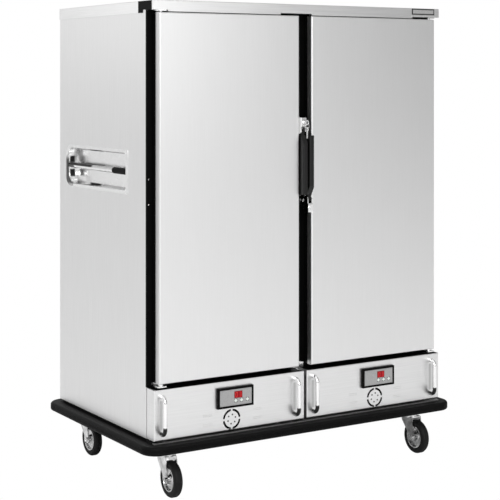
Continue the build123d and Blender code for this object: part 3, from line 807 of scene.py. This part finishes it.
def make_camera():
    """The photo's own view: level, turned to the right, and shifted down."""
    image_width = 500
    focal_pixels = 1391.2
    horizon_row = 78.1
    place = (-2.8435, -4.550, 1.4394)
    turn_degrees = -32.03
    data = bpy.data.cameras.new("camera")
    data.sensor_width = 36
    data.lens = focal_pixels / image_width * data.sensor_width
    data.shift_y = (horizon_row - image_width / 2) / image_width
    data.dof.use_dof = False
    camera = bpy.data.objects.new("camera", data)
    camera.location = place
    camera.rotation_euler = (math.radians(90), 0, math.radians(turn_degrees))
    bpy.context.collection.objects.link(camera)
    bpy.context.scene.camera = camera


def make_floor():
    """Pale floor, which the camera sees as white paper."""
    reach = 14
    outline = ((-reach, -reach), (reach, -reach), (reach, reach), (-reach, reach))
    shape = bmesh.new()
    shape.faces.new([shape.verts.new((x, y, 0)) for x, y in outline])
    mesh = bpy.data.meshes.new("floor")
    shape.to_mesh(mesh)
    shape.free()
    floor = bpy.data.objects.new("floor", mesh)
    bpy.context.collection.objects.link(floor)
    material, tree, shader = start_material("floor paper")
    grain = noise(tree, even_grain, 3)
    tree.links.new(two_tone(tree, grain, *greys(0.93, 0.96)), shader.inputs["Base Color"])
    shader.inputs["Roughness"].default_value = 0.9
    path = tree.nodes.new("ShaderNodeLightPath")
    white = tree.nodes.new("ShaderNodeEmission")
    white.inputs["Color"].default_value = (1, 1, 1, 1)
    mix = tree.nodes.new("ShaderNodeMixShader")
    tree.links.new(path.outputs["Is Camera Ray"], mix.inputs["Fac"])
    tree.links.new(shader.outputs["BSDF"], mix.inputs[1])
    tree.links.new(white.outputs["Emission"], mix.inputs[2])
    tree.links.new(mix.outputs["Shader"], tree.nodes["Material Output"].inputs["Surface"])
    mesh.materials.append(material)


def make_world():
    """Soft studio surroundings that darken to the right, seen as white by the camera."""
    world = bpy.data.worlds.new("studio")
    bpy.context.scene.world = world
    world.use_nodes = True
    tree = world.node_tree
    tree.nodes.clear()
    place = tree.nodes.new("ShaderNodeTexCoord")
    apart = tree.nodes.new("ShaderNodeSeparateXYZ")
    tree.links.new(place.outputs["Generated"], apart.inputs["Vector"])
    across = slope(tree, apart.outputs["X"], -1, 1)
    falloff = tree.nodes.new("ShaderNodeValToRGB")
    ramp = falloff.color_ramp
    ramp.elements[0].color = (*grey(0.68), 1)
    ramp.elements[1].color = (*grey(0.22), 1)
    for position, level in ((0.62, 0.90), (0.86, 0.22)):
        ramp.elements.new(position).color = (*grey(level), 1)
    tree.links.new(across, falloff.inputs["Fac"])
    studio = tree.nodes.new("ShaderNodeBackground")
    tree.links.new(falloff.outputs["Color"], studio.inputs["Color"])
    overhead = slope(tree, apart.outputs["Z"], start=0.15, end=0.70, low=0.91, high=1.25)
    tree.links.new(overhead, studio.inputs["Strength"])
    white = tree.nodes.new("ShaderNodeBackground")
    white.inputs["Color"].default_value = (1, 1, 1, 1)
    path = tree.nodes.new("ShaderNodeLightPath")
    mix = tree.nodes.new("ShaderNodeMixShader")
    output = tree.nodes.new("ShaderNodeOutputWorld")
    tree.links.new(path.outputs["Is Camera Ray"], mix.inputs["Fac"])
    tree.links.new(studio.outputs["Background"], mix.inputs[1])
    tree.links.new(white.outputs["Background"], mix.inputs[2])
    tree.links.new(mix.outputs["Shader"], output.inputs["Surface"])


def area_light(name, place, aim, size, power):
    """A square soft lamp that points at a place."""
    data = bpy.data.lights.new(name, "AREA")
    data.size = size
    data.energy = power
    lamp = bpy.data.objects.new(name, data)
    lamp.location = place
    lamp.rotation_euler = (Vector(aim) - Vector(place)).to_track_quat("-Z", "Y").to_euler()
    bpy.context.collection.objects.link(lamp)


def make_lights():
    """A key lamp on the left, a weak one in front and a small one behind the left side."""
    area_light("left key", (-2.5, -4.2, 3.0), aim=(-0.2, -1.8, 0), size=2.5, power=90)
    area_light("front fill", (1.0, -5.0, 2.2), aim=(0, 0, 1.3), size=2.0, power=18)
    area_light("rear kicker", (-3.3, 4.0, 2.0), aim=(-0.62, -0.3, 1.6), size=0.8, power=3.5)


looks = make_materials()
paint_everything(looks)
for side_name, unit_centre in sides.items():
    controller_face(side_name, unit_centre + controller_offset_x, looks)
    red_display(side_name, unit_centre + controller_offset_x, looks)
    vent_marks(side_name, unit_centre, looks)
    unit_top_strip(side_name, unit_centre, looks)
    coil_fins(side_name, unit_centre, looks)
    copper_pipes(side_name, unit_centre, looks)
blank_nameplate(looks)
push_bar_sleeves(looks)
deck_shade_strips(looks)
frame_rivets(looks)
mains_grommets(looks)
back_screws(looks)
make_camera()
make_floor()
make_world()
make_lights()

scene = bpy.context.scene
scene.view_settings.view_transform = "Standard"
